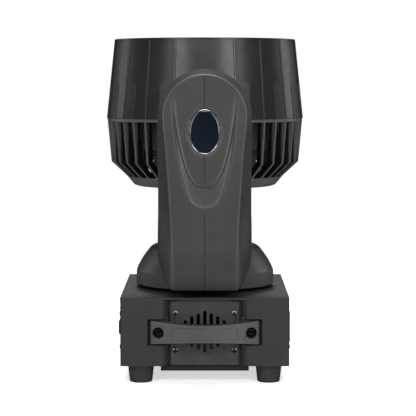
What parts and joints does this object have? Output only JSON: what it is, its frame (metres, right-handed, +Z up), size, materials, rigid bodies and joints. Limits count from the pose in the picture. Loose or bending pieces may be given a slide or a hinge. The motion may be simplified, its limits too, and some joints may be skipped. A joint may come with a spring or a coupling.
{
  "type": "moving head light",
  "caption": "Moving head wash light: ribbed round head tilting in a tall two-arm yoke that pans on a box base with handles, feet and a grille.",
  "frame": {"origin": "centre of the four feet on the floor, under the pan axis", "axes": "+Z up along the pan axis, Y along the tilt axis, -X towards the control panel"},
  "size_m": [0.2348, 0.3336, 0.3945],
  "materials": {
    "cover_plastic": "satin charcoal, fine moulded grain",
    "shroud_plastic": "satin charcoal, fine moulded grain",
    "dark_steel": "black powder coat",
    "frame_steel": "zinc plated",
    "foot_rubber": "matt",
    "screw_steel": "bright nickel",
    "bolt_black": "gloss black oxide",
    "handle_plastic": "satin, fine grain",
    "display_plastic": "gloss",
    "display_acrylic": "smoked",
    "button_plastic": "satin",
    "socket_plastic": "matt",
    "socket_zinc": "black chrome",
    "contact_brass": "plated",
    "board_green": "solder mask",
    "power_parts": "mixed electronic parts",
    "motor_steel": "brushed",
    "pulley_aluminium": "turned",
    "belt_rubber": "matt",
    "bearing_steel": "ground",
    "badge_gloss": "high gloss",
    "sink_aluminium": "extruded, black anodised",
    "led_white": "white board with emitters",
    "lens_clear": "polished",
    "lens_plate_black": "matt",
    "fan_plastic": "satin"
  },
  "bodies": {
    "base": {"base_chassis": "dark_steel", "mounting_plate": "dark_steel", "rubber_feet": "foot_rubber", "base_cover_left": "cover_plastic", "base_cover_right": "cover_plastic", "vent_plates": "dark_steel", "base_screws": "screw_steel", "handle_left": "handle_plastic", "handle_right": "handle_plastic", "handle_bolts": "bolt_black", "control_panel": "dark_steel", "display_bezel": "display_plastic", "display_window": "display_acrylic", "control_board": "board_green", "connector_panel": "dark_steel", "power_inlet": "socket_plastic", "power_outlet": "socket_plastic", "fuse_holder": "socket_plastic", "dmx_in": "socket_zinc", "dmx_out": "socket_zinc", "connector_pins": "contact_brass", "power_supply": "power_parts", "pan_motor": "motor_steel", "pan_belt": "belt_rubber", "pan_bearing_plate": "frame_steel", "pan_bearing": "bearing_steel"},
    "menu_button": {"menu_button": "button_plastic"},
    "up_button": {"up_button": "button_plastic"},
    "down_button": {"down_button": "button_plastic"},
    "enter_button": {"enter_button": "button_plastic"},
    "dmx_latch": {"dmx_latch": "socket_zinc"},
    "pan_drive": {"pan_motor_pulley": "pulley_aluminium"},
    "yoke": {"yoke_frame": "frame_steel", "pan_shaft": "frame_steel", "pan_pulley": "pulley_aluminium", "yoke_cover_front": "cover_plastic", "yoke_cover_rear": "cover_plastic", "badges": "badge_gloss", "cover_screws": "bolt_black", "skirt_front": "cover_plastic", "skirt_rear": "cover_plastic", "tilt_motor": "motor_steel", "tilt_belt": "belt_rubber", "tilt_bearings": "bearing_steel"},
    "tilt_drive": {"tilt_motor_pulley": "pulley_aluminium"},
    "head": {"head_shroud": "shroud_plastic", "front_bezel": "shroud_plastic", "rear_basket": "shroud_plastic", "head_bracket": "dark_steel", "tilt_shafts": "frame_steel", "tilt_pulley": "pulley_aluminium", "heat_sink": "sink_aluminium", "led_board": "led_white", "zoom_motor": "motor_steel", "zoom_guides": "bearing_steel", "head_fan": "fan_plastic"},
    "zoom_carriage": {"lens_plate": "lens_plate_black", "zoom_lenses": "lens_clear"},
    "zoom_screw": {"zoom_screw": "frame_steel"},
    "fan_rotor": {"head_fan_rotor": "fan_plastic"}
  },
  "joints": [
    {"name": "pan", "type": "hinge", "parent": "base", "child": "yoke", "pos_m": [0, 0, 0.1], "axis": [0, 0, 1], "range_deg": [-270, 270]},
    {"name": "tilt", "type": "hinge", "parent": "yoke", "child": "head", "pos_m": [0, 0, 0.306], "axis": [0, 1, 0], "range_deg": [-135, 135]},
    {"name": "zoom", "type": "slide", "parent": "head", "child": "zoom_carriage", "axis": [0, 0, 1], "range_m": [-0.02, 0]},
    {"name": "zoom_screw_turn", "type": "hinge", "parent": "head", "child": "zoom_screw", "pos_m": [0.05196, 0.03, 0.36], "axis": [0, 0, 1], "range_deg": [-900, 0]},
    {"name": "pan_motor_turn", "type": "hinge", "parent": "base", "child": "pan_drive", "pos_m": [0, 0.064, 0.083], "axis": [0, 0, 1], "range_deg": [-1147.5, 1147.5]},
    {"name": "tilt_motor_turn", "type": "hinge", "parent": "yoke", "child": "tilt_drive", "pos_m": [0, 0.157, 0.215], "axis": [0, 1, 0], "range_deg": [-506.25, 506.25]},
    {"name": "fan_turn", "type": "hinge", "parent": "head", "child": "fan_rotor", "pos_m": [0, 0, 0.246], "axis": [0, 0, 1], "continuous": true},
    {"name": "menu_button_press", "type": "slide", "parent": "base", "child": "menu_button", "axis": [1, 0, 0], "range_m": [0, 0.0008], "stiffness_N_per_m": 400, "springref_m": -0.0005},
    {"name": "up_button_press", "type": "slide", "parent": "base", "child": "up_button", "axis": [1, 0, 0], "range_m": [0, 0.0008], "stiffness_N_per_m": 400, "springref_m": -0.0005},
    {"name": "down_button_press", "type": "slide", "parent": "base", "child": "down_button", "axis": [1, 0, 0], "range_m": [0, 0.0008], "stiffness_N_per_m": 400, "springref_m": -0.0005},
    {"name": "enter_button_press", "type": "slide", "parent": "base", "child": "enter_button", "axis": [1, 0, 0], "range_m": [0, 0.0008], "stiffness_N_per_m": 400, "springref_m": -0.0005},
    {"name": "latch_press", "type": "slide", "parent": "base", "child": "dmx_latch", "axis": [-1, 0, 0], "range_m": [0, 0.0015], "stiffness_N_per_m": 400, "springref_m": -0.0005}
  ],
  "couplings": [
    {"joint": "zoom_screw_turn", "follows": "zoom", "rad_per_m": 785.4},
    {"joint": "pan_motor_turn", "follows": "pan", "ratio": 4.25},
    {"joint": "tilt_motor_turn", "follows": "tilt", "ratio": 3.75}
  ]
}
